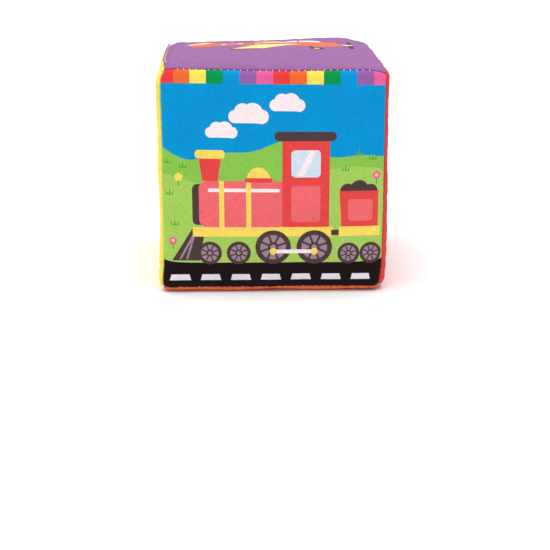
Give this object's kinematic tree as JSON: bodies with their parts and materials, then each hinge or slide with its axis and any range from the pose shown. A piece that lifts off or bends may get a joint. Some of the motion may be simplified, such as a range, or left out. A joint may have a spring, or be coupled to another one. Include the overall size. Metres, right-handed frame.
{
  "type": "fabric block",
  "caption": "Soft toy building block: a crowned cube of foam in a cover sewn from square cloth panels, with turned-in seams and a pinched, topstitched closing edge.",
  "frame": {"origin": "under the block's middle, on the surface that it rests on", "axes": "front face to -Y, right side to +X, top to +Z; the closing ridge runs along Y at the top left edge"},
  "size_m": [0.107, 0.107, 0.1048],
  "materials": {
    "foam": "open-cell, matte",
    "picture_cloth": "printed, plain weave, matte",
    "yellow_cloth": "printed, plain weave, matte",
    "red_cloth": "printed, plain weave, matte",
    "purple_cloth": "printed, plain weave, matte",
    "orange_cloth": "printed, plain weave, matte",
    "thread": "spun, soft sheen"
  },
  "bodies": {
    "root": {"foam_core": "foam", "front_panel": "picture_cloth", "back_panel": "picture_cloth", "left_panel": "yellow_cloth", "right_panel": "red_cloth", "top_panel": "purple_cloth", "bottom_panel": "orange_cloth", "front_left_seam_thread": "thread", "front_right_seam_thread": "thread", "back_left_seam_thread": "thread", "back_right_seam_thread": "thread", "bottom_seam_thread": "thread", "top_seam_thread": "thread", "closing_needle_thread": "thread", "closing_bobbin_thread": "thread"}
  },
  "joints": []
}
